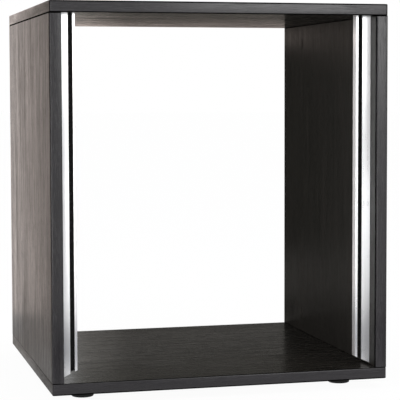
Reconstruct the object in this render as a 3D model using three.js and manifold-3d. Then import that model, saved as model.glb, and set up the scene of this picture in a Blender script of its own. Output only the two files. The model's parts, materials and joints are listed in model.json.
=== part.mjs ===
// Free-standing audio equipment rack: an open-fronted, open-backed cabinet of four boards with a pair of
// front rails for 19-inch equipment. Millimetres, +Z up, front towards -Y, the origin on the floor under
// the middle of the cabinet.

import * as THREE from 'three';
import { mergeVertices } from 'three/addons/utils/BufferGeometryUtils.js';
import Module from 'manifold-3d';

const wasm = await Module();
wasm.setup();

// Cabinet
const RACK_OPENING = 450; // clear width between the two rails
const CABINET_DEPTH = 480;
const UNIT_HEIGHT = 44.45; // height of one equipment unit
const UNIT_COUNT = 12;
const SPARE_HEIGHT = 24.6; // inside height left over beyond the units
const BOARD = 18; // board thickness

// Clearances
const SEAT_GAP = 0.02; // between faces that lie on each other
const FIT_GAP = 0.3; // round a piece in its bore, pocket or groove
const OVERRUN = 5; // how far a cut runs past the face it opens

// Edge bands
const BAND = 2; // thickness of an edge band
const ARRIS_RADIUS = 1.8;
const CORNER_EASE = 1.2; // how much rounder a panel's corner is than its arris

// Front rails
const RAIL_SETBACK = 28; // from the cabinet's front to the rails' front face
const RAIL_WIDTH = 25;
const RAIL_WALL = 2.25; // with this wall the holes of the two strips are 465.1 apart
const RAIL_FACE_WALL = 2; // thickness behind the front face
const RAIL_EDGE_RADIUS = 0.7;
const LIP_OVERLAP = 1.8; // how far each lip reaches over the threaded strip
const RIB_THICKNESS = 1.2; // ribs that hold the strip from behind
const SCREW_ROOM = 4; // depth behind the ribs for the ends of equipment screws
const FLANGE_DEPTH = 34; // from the rail's front face to the rear edge of its fixing flange
const CUT_START = 3; // height of the slanted lower end at the side board
const CUT_RISE = 11.7; // how much higher it is at the rail's inner edge

// Threaded strips
const STRIP_WIDTH = 10;
const STRIP_THICKNESS = 3;
const STRIP_SHORT = 2.4; // how far the strip ends above the rail's slanted end
const HOLE_PITCH = 15.875; // between neighbouring holes of a unit
const HOLE_STEPS = 2; // pitches from a unit's first hole to its last
const TAPPED_RADIUS = 2.5;

// Rail screws
const RAIL_SCREW_STEPS = 3; // spaces between a rail's screws
const RAIL_SCREW_SETBACK = 45; // from the rail's ends to its first and last screw
const RAIL_SCREW_BITE = 12.75; // how deep it goes into the side board
const RAIL_SCREW_RADIUS = 1.8;
const RAIL_SCREW_HEAD_RADIUS = 3.6;
const RAIL_SCREW_HEAD_HEIGHT = 2.4;

// Feet
const FOOT_HEIGHT = 15;
const FOOT_SIDE_INSET = 57; // from the cabinet's left or right face to a foot's centre
const FOOT_END_INSET = 66; // from its front or rear face
const FOOT_TOP_RADIUS = 18;
const FOOT_BASE_RADIUS = 17.3;
const FOOT_RIM = 3; // height of the straight rim at the top
const FOOT_EDGE_RADIUS = 2;
const FOOT_RECESS_RADIUS = 7;
const FOOT_RECESS_DEPTH = 7;
const FOOT_SCREW_BITE = 13; // how deep it goes into the bottom panel
const FOOT_SCREW_RADIUS = 2.2;
const FOOT_SCREW_HEAD_RADIUS = 4.4;
const FOOT_SCREW_HEAD_HEIGHT = 3;
const SCREW_POINT = 4; // length of a wood screw's point

// Board joints: cam, bolt and dowel
const JOINT_SETBACK = 37; // from the front or rear to the dowel
const JOINT_PITCH = 32;
const CAM_STEPS = 2; // pitches between dowel and bolt
const CAM_DISTANCE = 34; // from the joint to the cam's centre
const CAM_RADIUS = 7.5;
const CAM_FLOOR = 4.5; // board left behind the cam
const CAM_CROSS_LENGTH = 7;
const CAM_CROSS_WIDTH = 1.2;
const CAM_CROSS_DEPTH = 2.5;
const BOLT_THREAD_RADIUS = 2.5;
const BOLT_THREAD_LENGTH = 11;
const BOLT_COLLAR_RADIUS = 3.5;
const BOLT_NECK_RADIUS = 1.9;
const BOLT_HEAD_RADIUS = 3.3;
const BOLT_HEAD_LENGTH = 3;
const BOLT_STANDOFF = 1; // between the collar's end and the cam's rim
const DOWEL_RADIUS = 4;
const DOWEL_CHAMFER = 1;
const DOWEL_IN_PANEL = 11;
const DOWEL_IN_SIDE = 19;

// Facets
const ROUND_SIDES = 20;
const SMALL_SIDES = 10;
const STRIP_HOLE_SIDES = 10;
const ARC_STEPS = 3;

// Sizes worked out from the ones above
const insideWidth = RACK_OPENING + 2 * RAIL_WIDTH;
const insideHeight = UNIT_COUNT * UNIT_HEIGHT + SPARE_HEIGHT;
const cabinetWidth = insideWidth + 2 * BOARD;
const floorLevel = FOOT_HEIGHT + BOARD;
const ceilingLevel = floorLevel + insideHeight;
const coreDepth = CABINET_DEPTH - 2 * (BAND + SEAT_GAP);
const coreWidth = cabinetWidth - 2 * (BAND + SEAT_GAP);
const cornerRadius = ARRIS_RADIUS + CORNER_EASE;

const grooveWidth = STRIP_WIDTH + 2 * FIT_GAP;
const grooveFar = RAIL_WIDTH - RAIL_WALL;
const grooveNear = grooveFar - grooveWidth;
const stripCentre = (grooveNear + grooveFar) / 2;
const slotNear = grooveNear + LIP_OVERLAP;
const slotFar = grooveFar - LIP_OVERLAP;
const ribFront = RAIL_FACE_WALL + STRIP_THICKNESS + 2 * FIT_GAP;
const ribBack = ribFront + RIB_THICKNESS;
const channelBack = ribBack + SCREW_ROOM;
const channelDepth = channelBack + RAIL_WALL;
const cutSlope = CUT_RISE / RAIL_WIDTH;
const railScrewDepth = (channelDepth + FLANGE_DEPTH) / 2;
const railScrewLength = RAIL_WALL + RAIL_SCREW_BITE;
const footScrewLength = FOOT_HEIGHT - FOOT_RECESS_DEPTH + FOOT_SCREW_BITE;
const camSetback = JOINT_SETBACK + CAM_STEPS * JOINT_PITCH;
const camDepth = BOARD - CAM_FLOOR;

const SIDES = { left: -1, right: 1 };
const ENDS = { front: -1, rear: 1 };
const LEVELS = { bottom: -1, top: 1 };

// Materials

function laminateMaterial() {
  return new THREE.MeshStandardMaterial({ color: 0x433e3b, roughness: 0.6, metalness: 0 });
}

function bandMaterial() {
  return new THREE.MeshStandardMaterial({ color: 0x3a3839, roughness: 0.5, metalness: 0 });
}

function aluminiumMaterial() {
  return new THREE.MeshStandardMaterial({ color: 0xd9d9dc, roughness: 0.32, metalness: 0.9 });
}

function blackSteelMaterial() {
  return new THREE.MeshStandardMaterial({ color: 0x16161a, roughness: 0.45, metalness: 0.6 });
}

function zincMaterial() {
  return new THREE.MeshStandardMaterial({ color: 0xb9bcc0, roughness: 0.35, metalness: 0.9 });
}

function castZincMaterial() {
  return new THREE.MeshStandardMaterial({ color: 0x9a9c9e, roughness: 0.5, metalness: 0.8 });
}

function rubberMaterial() {
  return new THREE.MeshStandardMaterial({ color: 0x0e0e0e, roughness: 0.7, metalness: 0 });
}

function beechMaterial() {
  return new THREE.MeshStandardMaterial({ color: 0xc9a577, roughness: 0.7, metalness: 0 });
}

// Solids

function signedVolume(position, corners) {
  const a = new THREE.Vector3();
  const b = new THREE.Vector3();
  const c = new THREE.Vector3();
  let volume = 0;
  for (let i = 0; i < corners.length; i += 3) {
    a.fromBufferAttribute(position, corners[i]);
    b.fromBufferAttribute(position, corners[i + 1]);
    c.fromBufferAttribute(position, corners[i + 2]);
    volume += a.dot(b.cross(c)) / 6;
  }
  return volume;
}

// Shares the vertices of a closed surface, drops faces that have shrunk to a line and turns them outwards.
function closed(geometry) {
  const bare = geometry.clone();
  bare.deleteAttribute('normal');
  bare.deleteAttribute('uv');
  const merged = mergeVertices(bare);
  const position = merged.getAttribute('position');
  const index = merged.getIndex().array;
  const corners = [];
  for (let i = 0; i < index.length; i += 3) {
    const [a, b, c] = [index[i], index[i + 1], index[i + 2]];
    if (a !== b && b !== c && c !== a) corners.push(a, b, c);
  }
  if (signedVolume(position, corners) < 0) corners.reverse();
  merged.setIndex(corners);
  merged.computeVertexNormals();
  return merged;
}

function toSolid(geometry) {
  const shape = closed(geometry);
  const vertProperties = new Float32Array(shape.getAttribute('position').array);
  const triVerts = new Uint32Array(shape.getIndex().array);
  return new wasm.Manifold(new wasm.Mesh({ numProp: 3, vertProperties, triVerts }));
}

function toGeometry(solid) {
  const mesh = solid.getMesh();
  const geometry = new THREE.BufferGeometry();
  geometry.setAttribute('position', new THREE.BufferAttribute(new Float32Array(mesh.vertProperties), 3));
  geometry.setIndex(new THREE.BufferAttribute(new Uint32Array(mesh.triVerts), 1));
  geometry.computeVertexNormals();
  return geometry;
}

function cut(body, tools) {
  let solid = toSolid(body);
  for (const tool of tools) solid = solid.subtract(toSolid(tool));
  return toGeometry(solid);
}

function common(body, tool) {
  return toGeometry(toSolid(body).intersect(toSolid(tool)));
}

// A box between two values on each axis, given in any order.
function block([x0, x1], [y0, y1], [z0, z1]) {
  const shape = new THREE.BoxGeometry(Math.abs(x1 - x0), Math.abs(y1 - y0), Math.abs(z1 - z0));
  return shape.translate((x0 + x1) / 2, (y0 + y1) / 2, (z0 + z1) / 2);
}

// Cylinders along one axis, from one value on it to the other, given in any order.
function rodX(radius, sides, [x0, x1], y, z) {
  const shape = new THREE.CylinderGeometry(radius, radius, Math.abs(x1 - x0), sides);
  return shape.rotateZ(Math.PI / 2).translate((x0 + x1) / 2, y, z);
}

function rodY(radius, sides, x, [y0, y1], z) {
  const shape = new THREE.CylinderGeometry(radius, radius, Math.abs(y1 - y0), sides);
  return shape.translate(x, (y0 + y1) / 2, z);
}

function rodZ(radius, sides, x, y, [z0, z1]) {
  const shape = new THREE.CylinderGeometry(radius, radius, Math.abs(z1 - z0), sides);
  return shape.rotateX(Math.PI / 2).translate(x, y, (z0 + z1) / 2);
}

// Turns an outline of [radius, height] points about the Z axis.
function turned(outline, sides) {
  const points = outline.map(([radius, height]) => new THREE.Vector2(radius, height));
  return closed(new THREE.LatheGeometry(points, sides).rotateX(Math.PI / 2));
}

// Points of a quarter circle, from one angle to the next quarter.
function quarterArc(centreRadius, centreHeight, radius, startAngle) {
  const points = [];
  for (let step = 0; step <= ARC_STEPS; step += 1) {
    const angle = startAngle + (step / ARC_STEPS) * (Math.PI / 2);
    points.push([centreRadius + radius * Math.cos(angle), centreHeight + radius * Math.sin(angle)]);
  }
  return points;
}

function piece(name, geometry, material) {
  const mesh = new THREE.Mesh(geometry, material);
  mesh.name = name;
  return mesh;
}

// Heights, from the inside floor, of everything that repeats up the rack

function tappedHoleHeights() {
  const edge = (UNIT_HEIGHT - HOLE_STEPS * HOLE_PITCH) / 2;
  const heights = [];
  for (let unit = 0; unit < UNIT_COUNT; unit += 1) {
    for (let hole = 0; hole <= HOLE_STEPS; hole += 1) {
      heights.push(SPARE_HEIGHT / 2 + unit * UNIT_HEIGHT + edge + hole * HOLE_PITCH);
    }
  }
  return heights;
}

function railScrewHeights() {
  const heights = [];
  const span = insideHeight - 2 * RAIL_SCREW_SETBACK;
  for (let screw = 0; screw <= RAIL_SCREW_STEPS; screw += 1) {
    heights.push(RAIL_SCREW_SETBACK + (screw / RAIL_SCREW_STEPS) * span);
  }
  return heights;
}

// Places across the cabinet

const sideCentre = (side) => side * (insideWidth / 2 + BOARD / 2);
const boltPlace = (end) => end * (CABINET_DEPTH / 2 - camSetback);
const dowelPlace = (end) => end * (CABINET_DEPTH / 2 - JOINT_SETBACK);
const footPlace = (side, end) => [
  side * (cabinetWidth / 2 - FOOT_SIDE_INSET),
  end * (CABINET_DEPTH / 2 - FOOT_END_INSET),
];

// Top and bottom panels, each in a frame with its inner face at zero and its board on the outward side

// A full panel with its edge bands on: every arris and corner is rounded.
function roundedPanel() {
  const halfWidth = cabinetWidth / 2;
  const halfDepth = CABINET_DEPTH / 2;
  const outline = new THREE.Shape();
  outline.moveTo(cornerRadius - halfWidth, -halfDepth);
  outline.absarc(halfWidth - cornerRadius, cornerRadius - halfDepth, cornerRadius, -Math.PI / 2, 0);
  outline.absarc(halfWidth - cornerRadius, halfDepth - cornerRadius, cornerRadius, 0, Math.PI / 2);
  outline.absarc(cornerRadius - halfWidth, halfDepth - cornerRadius, cornerRadius, Math.PI / 2, Math.PI);
  outline.absarc(cornerRadius - halfWidth, cornerRadius - halfDepth, cornerRadius, Math.PI, Math.PI * 1.5);
  const shape = new THREE.ExtrudeGeometry(outline, {
    depth: BOARD - 2 * ARRIS_RADIUS,
    curveSegments: ARC_STEPS,
    bevelThickness: ARRIS_RADIUS,
    bevelSize: ARRIS_RADIUS,
    bevelOffset: -ARRIS_RADIUS,
    bevelSegments: ARC_STEPS,
  });
  return shape.translate(0, 0, ARRIS_RADIUS - BOARD / 2);
}

function panelCore(level) {
  const outward = [0, level * BOARD];
  const body = block([-coreWidth / 2, coreWidth / 2], [-coreDepth / 2, coreDepth / 2], outward);
  const boltBore = [-level * OVERRUN, level * (BOLT_THREAD_LENGTH + FIT_GAP)];
  const dowelBore = [-level * OVERRUN, level * (DOWEL_IN_PANEL + FIT_GAP)];
  const bores = [];
  for (const side of Object.values(SIDES)) {
    for (const end of Object.values(ENDS)) {
      const x = sideCentre(side);
      bores.push(rodZ(BOLT_THREAD_RADIUS + FIT_GAP, SMALL_SIDES, x, boltPlace(end), boltBore));
      bores.push(rodZ(DOWEL_RADIUS + FIT_GAP, SMALL_SIDES, x, dowelPlace(end), dowelBore));
    }
  }
  return { body, bores };
}

// Pilot bores for the foot screws, from the bottom panel's lower face upwards.
function footBores() {
  const span = [-BOARD - OVERRUN, FOOT_SCREW_BITE + FIT_GAP - BOARD];
  const bores = [];
  for (const side of Object.values(SIDES)) {
    for (const end of Object.values(ENDS)) {
      const [x, y] = footPlace(side, end);
      bores.push(rodZ(FOOT_SCREW_RADIUS + FIT_GAP, SMALL_SIDES, x, y, span));
    }
  }
  return bores;
}

// The four edge bands of a panel are slices of the rounded panel, with the end bands between the others.
function panelBands(level) {
  const halfWidth = cabinetWidth / 2;
  const halfDepth = CABINET_DEPTH / 2;
  const whole = roundedPanel().translate(0, 0, (level * BOARD) / 2);
  const height = [-BOARD - OVERRUN, BOARD + OVERRUN];
  const width = [-halfWidth - OVERRUN, halfWidth + OVERRUN];
  const between = [-coreDepth / 2, coreDepth / 2];
  const bands = {};
  for (const [endName, end] of Object.entries(ENDS)) {
    const depth = [end * (halfDepth - BAND), end * (halfDepth + OVERRUN)];
    bands[endName] = common(whole, block(width, depth, height));
  }
  for (const [sideName, side] of Object.entries(SIDES)) {
    const across = [side * (halfWidth - BAND), side * (halfWidth + OVERRUN)];
    bands[sideName] = common(whole, block(across, between, height));
  }
  return bands;
}

function panelGroup(levelName) {
  const level = LEVELS[levelName];
  const group = new THREE.Group();
  const { body, bores } = panelCore(level);
  if (levelName === 'bottom') bores.push(...footBores());
  group.add(piece(`${levelName}_panel`, cut(body, bores), laminateMaterial()));
  for (const [edge, geometry] of Object.entries(panelBands(level))) {
    group.add(piece(`${levelName}_${edge}_edge_band`, geometry, bandMaterial()));
  }
  group.position.z = levelName === 'top' ? ceilingLevel : floorLevel;
  return group;
}

// Side boards, each in a frame with its middle plane at zero and the inside floor at height zero

// A side board's edge band in plan, with both outer arrises rounded.
function sideBand(end) {
  const half = BOARD / 2;
  const inner = end * (CABINET_DEPTH / 2 - BAND);
  const outer = end * (CABINET_DEPTH / 2);
  const eased = end * (CABINET_DEPTH / 2 - ARRIS_RADIUS);
  const outline = new THREE.Shape();
  outline.moveTo(-half, inner);
  outline.lineTo(-half, eased);
  outline.quadraticCurveTo(-half, outer, ARRIS_RADIUS - half, outer);
  outline.lineTo(half - ARRIS_RADIUS, outer);
  outline.quadraticCurveTo(half, outer, half, eased);
  outline.lineTo(half, inner);
  const height = insideHeight - 2 * SEAT_GAP;
  const settings = { depth: height, bevelEnabled: false, curveSegments: ARC_STEPS };
  return closed(new THREE.ExtrudeGeometry(outline, settings).translate(0, 0, SEAT_GAP));
}

function sideCore(side) {
  const height = [SEAT_GAP, insideHeight - SEAT_GAP];
  const body = block([-BOARD / 2, BOARD / 2], [-coreDepth / 2, coreDepth / 2], height);
  const inner = -side * (BOARD / 2);
  const housing = [inner - side * OVERRUN, inner + side * (camDepth + FIT_GAP)];
  const bores = [];
  for (const level of Object.values(LEVELS)) {
    const joint = level > 0 ? insideHeight : 0;
    const camHeight = joint - level * CAM_DISTANCE;
    const boltBore = [joint + level * OVERRUN, camHeight];
    const dowelBore = [joint + level * OVERRUN, joint - level * (DOWEL_IN_SIDE + FIT_GAP)];
    for (const end of Object.values(ENDS)) {
      bores.push(rodX(CAM_RADIUS + FIT_GAP, ROUND_SIDES, housing, boltPlace(end), camHeight));
      bores.push(rodZ(BOLT_COLLAR_RADIUS + FIT_GAP, SMALL_SIDES, 0, boltPlace(end), boltBore));
      bores.push(rodZ(DOWEL_RADIUS + FIT_GAP, SMALL_SIDES, 0, dowelPlace(end), dowelBore));
    }
  }
  const pilot = [inner - side * OVERRUN, inner + side * (RAIL_SCREW_BITE + FIT_GAP)];
  const screwPlace = RAIL_SETBACK + railScrewDepth - CABINET_DEPTH / 2;
  for (const z of railScrewHeights()) {
    bores.push(rodX(RAIL_SCREW_RADIUS + FIT_GAP, SMALL_SIDES, pilot, screwPlace, z));
  }
  return cut(body, bores);
}

function sideGroup(sideName) {
  const side = SIDES[sideName];
  const group = new THREE.Group();
  group.add(piece(`${sideName}_side_panel`, sideCore(side), laminateMaterial()));
  for (const [endName, end] of Object.entries(ENDS)) {
    group.add(piece(`${sideName}_side_${endName}_edge_band`, sideBand(end), bandMaterial()));
  }
  group.position.set(sideCentre(side), 0, floorLevel);
  return group;
}

// Board joints, each in a frame with the joint's plane at zero, the panel above and the side board below

function jointBolt() {
  const collarEnd = CAM_DISTANCE - CAM_RADIUS - BOLT_STANDOFF;
  const headTop = CAM_DISTANCE - BOLT_HEAD_LENGTH / 2;
  const headEnd = CAM_DISTANCE + BOLT_HEAD_LENGTH / 2;
  const outline = [
    [0, -headEnd],
    [BOLT_NECK_RADIUS, -headEnd],
    [BOLT_HEAD_RADIUS, -CAM_DISTANCE],
    [BOLT_NECK_RADIUS, -headTop],
    [BOLT_NECK_RADIUS, -collarEnd],
    [BOLT_COLLAR_RADIUS, -collarEnd],
    [BOLT_COLLAR_RADIUS, -SEAT_GAP],
    [BOLT_THREAD_RADIUS, -SEAT_GAP],
    [BOLT_THREAD_RADIUS, BOLT_THREAD_LENGTH],
    [0, BOLT_THREAD_LENGTH],
  ];
  return turned(outline, SMALL_SIDES);
}

function jointDowel() {
  const slim = DOWEL_RADIUS - DOWEL_CHAMFER;
  const outline = [
    [0, -DOWEL_IN_SIDE],
    [slim, -DOWEL_IN_SIDE],
    [DOWEL_RADIUS, DOWEL_CHAMFER - DOWEL_IN_SIDE],
    [DOWEL_RADIUS, DOWEL_IN_PANEL - DOWEL_CHAMFER],
    [slim, DOWEL_IN_PANEL],
    [0, DOWEL_IN_PANEL],
  ];
  return turned(outline, SMALL_SIDES);
}

// The cam in a frame with its driven face at zero and its axis at the bolt's head. The bolt's neck leaves it
// upwards. The head came in from the middle of the cabinet, through a wide mouth, and a narrow slot joins
// that mouth to the neck, so that a quarter turn locks the head in the pocket.
function jointCam(side, end) {
  const axis = side * (BOARD / 2);
  const pocket = [-BOLT_HEAD_LENGTH / 2 - FIT_GAP, BOLT_HEAD_LENGTH / 2 + FIT_GAP];
  const headGap = BOLT_HEAD_RADIUS + FIT_GAP;
  const neckGap = BOLT_NECK_RADIUS + FIT_GAP;
  const beyond = CAM_RADIUS + OVERRUN;
  const halfCross = CAM_CROSS_LENGTH / 2;
  const halfWidth = CAM_CROSS_WIDTH / 2;
  const crossDepth = [-side * OVERRUN, side * CAM_CROSS_DEPTH];
  const body = rodX(CAM_RADIUS, ROUND_SIDES, [0, side * camDepth], 0, 0);
  return cut(body, [
    rodZ(headGap, SMALL_SIDES, axis, 0, pocket),
    rodZ(neckGap, SMALL_SIDES, axis, 0, [0, beyond]),
    block([axis - headGap, axis + headGap], [0, -end * beyond], pocket),
    block([axis - neckGap, axis + neckGap], [0, -end * beyond], [0, beyond]),
    block(crossDepth, [-halfCross, halfCross], [-halfWidth, halfWidth]),
    block(crossDepth, [-halfWidth, halfWidth], [-halfCross, halfCross]),
  ]);
}

function jointGroup(sideName, levelName, endName) {
  const side = SIDES[sideName];
  const level = LEVELS[levelName];
  const end = ENDS[endName];
  const name = `${levelName}_${sideName}_${endName}`;
  const bolt = piece(`${name}_cam_bolt`, jointBolt(), zincMaterial());
  const dowel = piece(`${name}_dowel`, jointDowel(), beechMaterial());
  const cam = piece(`${name}_cam`, jointCam(side, end * level), castZincMaterial());
  bolt.position.y = level * boltPlace(end);
  dowel.position.y = level * dowelPlace(end);
  cam.position.set(-side * (BOARD / 2), level * boltPlace(end), -CAM_DISTANCE);
  const group = new THREE.Group();
  group.add(bolt, dowel, cam);
  group.rotation.x = level > 0 ? 0 : Math.PI;
  group.position.set(sideCentre(side), 0, levelName === 'top' ? ceilingLevel : floorLevel);
  return group;
}

// Rails, each in a frame at the side board's inner face, the rail's front face and the inside floor

// The rail in plan: a front face with a slot, a groove with lips and ribs for the threaded strip, a closed
// channel behind it and a flange along the side board.
function railOutline(side) {
  const at = (inward, depth) => [-side * inward, depth];
  const nearWall = grooveNear - RAIL_WALL;
  const outline = new THREE.Shape();
  outline.moveTo(...at(SEAT_GAP, RAIL_EDGE_RADIUS));
  outline.quadraticCurveTo(...at(SEAT_GAP, 0), ...at(SEAT_GAP + RAIL_EDGE_RADIUS, 0));
  outline.lineTo(...at(slotNear, 0));
  outline.lineTo(...at(slotNear, RAIL_FACE_WALL));
  outline.lineTo(...at(grooveNear, RAIL_FACE_WALL));
  outline.lineTo(...at(grooveNear, ribFront));
  outline.lineTo(...at(slotNear, ribFront));
  outline.lineTo(...at(slotNear, ribBack));
  outline.lineTo(...at(grooveNear, ribBack));
  outline.lineTo(...at(grooveNear, channelBack));
  outline.lineTo(...at(grooveFar, channelBack));
  outline.lineTo(...at(grooveFar, ribBack));
  outline.lineTo(...at(slotFar, ribBack));
  outline.lineTo(...at(slotFar, ribFront));
  outline.lineTo(...at(grooveFar, ribFront));
  outline.lineTo(...at(grooveFar, RAIL_FACE_WALL));
  outline.lineTo(...at(slotFar, RAIL_FACE_WALL));
  outline.lineTo(...at(slotFar, 0));
  outline.lineTo(...at(RAIL_WIDTH - RAIL_EDGE_RADIUS, 0));
  outline.quadraticCurveTo(...at(RAIL_WIDTH, 0), ...at(RAIL_WIDTH, RAIL_EDGE_RADIUS));
  outline.lineTo(...at(RAIL_WIDTH, channelDepth));
  outline.lineTo(...at(nearWall, channelDepth));
  outline.lineTo(...at(nearWall, RAIL_FACE_WALL));
  outline.lineTo(...at(RAIL_WALL, RAIL_FACE_WALL));
  outline.lineTo(...at(RAIL_WALL, FLANGE_DEPTH));
  outline.lineTo(...at(SEAT_GAP, FLANGE_DEPTH));
  return outline;
}

// Everything below a slanted line that rises inwards, from some height at the side board.
function slantedEnd(side, height) {
  const low = -OVERRUN;
  const far = RAIL_WIDTH + OVERRUN;
  const outline = new THREE.Shape();
  outline.moveTo(-side * low, low);
  outline.lineTo(-side * far, low);
  outline.lineTo(-side * far, height + far * cutSlope);
  outline.lineTo(-side * low, height + low * cutSlope);
  const through = FLANGE_DEPTH + 2 * OVERRUN;
  const shape = new THREE.ExtrudeGeometry(outline, { depth: through, bevelEnabled: false });
  return shape.rotateX(Math.PI / 2).translate(0, FLANGE_DEPTH + OVERRUN, 0);
}

function rail(side) {
  const settings = { depth: insideHeight - SEAT_GAP, bevelEnabled: false, curveSegments: ARC_STEPS };
  const body = new THREE.ExtrudeGeometry(railOutline(side), settings);
  const tools = [slantedEnd(side, CUT_START)];
  const through = [side * OVERRUN, -side * (RAIL_WALL + OVERRUN)];
  for (const z of railScrewHeights()) {
    tools.push(rodX(RAIL_SCREW_RADIUS + FIT_GAP, SMALL_SIDES, through, railScrewDepth, z));
  }
  return cut(body, tools);
}

function threadedStrip(side) {
  const near = grooveNear + FIT_GAP;
  const front = RAIL_FACE_WALL + FIT_GAP;
  const back = front + STRIP_THICKNESS;
  const across = [-side * near, -side * (near + STRIP_WIDTH)];
  const body = block(across, [front, back], [0, insideHeight - FIT_GAP]);
  const tools = [slantedEnd(side, CUT_START + STRIP_SHORT)];
  for (const z of tappedHoleHeights()) {
    const through = [front - OVERRUN, back + OVERRUN];
    tools.push(rodY(TAPPED_RADIUS, STRIP_HOLE_SIDES, -side * stripCentre, through, z));
  }
  return cut(body, tools);
}

// A wood screw in a frame with the face under its head at zero and its shank upwards.
function woodScrew(radius, length, headRadius, headHeight) {
  const dome = headHeight / 2;
  const outline = [
    [0, -headHeight],
    [headRadius - dome, -headHeight],
    [headRadius, -dome],
    [headRadius, -SEAT_GAP],
    [radius, -SEAT_GAP],
    [radius, length - SCREW_POINT],
    [0, length],
  ];
  return turned(outline, SMALL_SIDES);
}

function railScrew(side) {
  const shape = woodScrew(
    RAIL_SCREW_RADIUS,
    railScrewLength,
    RAIL_SCREW_HEAD_RADIUS,
    RAIL_SCREW_HEAD_HEIGHT,
  );
  return shape.rotateY((side * Math.PI) / 2);
}

function railGroup(sideName) {
  const side = SIDES[sideName];
  const group = new THREE.Group();
  group.add(piece(`${sideName}_rail`, rail(side), aluminiumMaterial()));
  group.add(piece(`${sideName}_threaded_strip`, threadedStrip(side), blackSteelMaterial()));
  railScrewHeights().forEach((z, index) => {
    const screw = piece(`${sideName}_rail_screw_${index + 1}`, railScrew(side), zincMaterial());
    screw.position.set(-side * RAIL_WALL, railScrewDepth, z);
    group.add(screw);
  });
  group.position.set((side * insideWidth) / 2, RAIL_SETBACK - CABINET_DEPTH / 2, floorLevel);
  return group;
}

// Feet

function foot() {
  const bore = FOOT_SCREW_RADIUS + FIT_GAP;
  const top = FOOT_HEIGHT - SEAT_GAP;
  const edgeCentre = FOOT_BASE_RADIUS - FOOT_EDGE_RADIUS;
  const outline = [
    [FOOT_RECESS_RADIUS, 0],
    ...quarterArc(edgeCentre, FOOT_EDGE_RADIUS, FOOT_EDGE_RADIUS, -Math.PI / 2),
    [FOOT_TOP_RADIUS, FOOT_HEIGHT - FOOT_RIM],
    [FOOT_TOP_RADIUS, top],
    [bore, top],
    [bore, FOOT_RECESS_DEPTH],
    [FOOT_RECESS_RADIUS, FOOT_RECESS_DEPTH],
    [FOOT_RECESS_RADIUS, 0],
  ];
  return turned(outline, ROUND_SIDES);
}

function footScrew() {
  return woodScrew(FOOT_SCREW_RADIUS, footScrewLength, FOOT_SCREW_HEAD_RADIUS, FOOT_SCREW_HEAD_HEIGHT);
}

function footGroup(sideName, endName) {
  const [x, y] = footPlace(SIDES[sideName], ENDS[endName]);
  const name = `${endName}_${sideName}_foot`;
  const screw = piece(`${name}_screw`, footScrew(), zincMaterial());
  screw.position.z = FOOT_RECESS_DEPTH;
  const group = new THREE.Group();
  group.add(piece(name, foot(), rubberMaterial()), screw);
  group.position.set(x, y, 0);
  return group;
}

// Assembly

function equipmentRack() {
  const rack = new THREE.Group();
  for (const levelName of Object.keys(LEVELS)) rack.add(panelGroup(levelName));
  for (const sideName of Object.keys(SIDES)) {
    rack.add(sideGroup(sideName), railGroup(sideName));
    for (const endName of Object.keys(ENDS)) {
      rack.add(footGroup(sideName, endName));
      for (const levelName of Object.keys(LEVELS)) rack.add(jointGroup(sideName, levelName, endName));
    }
  }
  return rack;
}

export default equipmentRack();
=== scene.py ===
# Looks of the audio equipment rack: camera, plain studio, finishes and the finely modelled small pieces.
# Metres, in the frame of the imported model: +Z up, the open front towards -Y, the floor at zero.

import json
import math

import bmesh
import bpy
from mathutils import Matrix, Quaternion, Vector


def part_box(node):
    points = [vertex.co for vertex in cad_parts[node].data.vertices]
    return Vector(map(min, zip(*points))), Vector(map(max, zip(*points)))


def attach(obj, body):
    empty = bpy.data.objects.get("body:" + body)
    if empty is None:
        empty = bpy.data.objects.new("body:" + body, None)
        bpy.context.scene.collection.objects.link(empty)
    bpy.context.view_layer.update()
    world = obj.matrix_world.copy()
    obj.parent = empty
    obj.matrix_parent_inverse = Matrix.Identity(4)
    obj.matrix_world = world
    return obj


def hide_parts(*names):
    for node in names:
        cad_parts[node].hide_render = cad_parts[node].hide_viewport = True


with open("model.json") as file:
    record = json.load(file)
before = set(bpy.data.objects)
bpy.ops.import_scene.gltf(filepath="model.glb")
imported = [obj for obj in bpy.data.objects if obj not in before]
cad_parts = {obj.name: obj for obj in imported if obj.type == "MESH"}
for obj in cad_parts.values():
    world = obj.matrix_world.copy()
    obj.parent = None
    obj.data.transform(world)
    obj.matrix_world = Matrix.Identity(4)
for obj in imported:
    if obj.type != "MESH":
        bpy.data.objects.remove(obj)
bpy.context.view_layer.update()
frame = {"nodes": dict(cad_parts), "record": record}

BODY = "root"

# Photograph's frame, and the camera fitted to the cabinet's edges in it
IMAGE_SIZE = 400
FOCAL_PIXELS = 1471.9
OPTICAL_CENTRE = (201.0, 180.0)
SENSOR_WIDTH = 36.0
CAMERA_PLACE = Vector((-0.5979, -2.4181, 0.4734))
CAMERA_YAW = math.radians(14.453)
CAMERA_PITCH = math.radians(3.462)
CAMERA_ROLL = math.radians(0.158)

# Floor and world. Reflections show the floor in painted shades that change with Y, darkest in a band in front
# of the rack, and a dark ceiling.
WHITE = (1.0, 1.0, 1.0)
FLOOR_RADIUS = 30.0
FLOOR_STEPS = 64
FLOOR_COLOUR = (0.96, 0.97, 0.98)
FLOOR_SEEN_WHITE = 0.955
FLOOR_MIRRORED_Y = (-2.0, 1.0)
FLOOR_MIRRORED = (
    (-0.97, (1.0, 1.0, 1.0)),
    (-0.86, (0.06, 0.062, 0.073)),
    (-0.55, (0.15, 0.155, 0.18)),
    (-0.4, (0.85, 0.85, 0.86)),
    (0.35, (0.85, 0.8, 0.77)),
    (0.5, (1.0, 1.0, 1.0)),
)
WORLD_COLOUR = (0.88, 0.88, 0.89)
BACKDROP_TOP = (0.45, 0.7)
CEILING_MIRRORED = 0.12

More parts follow.
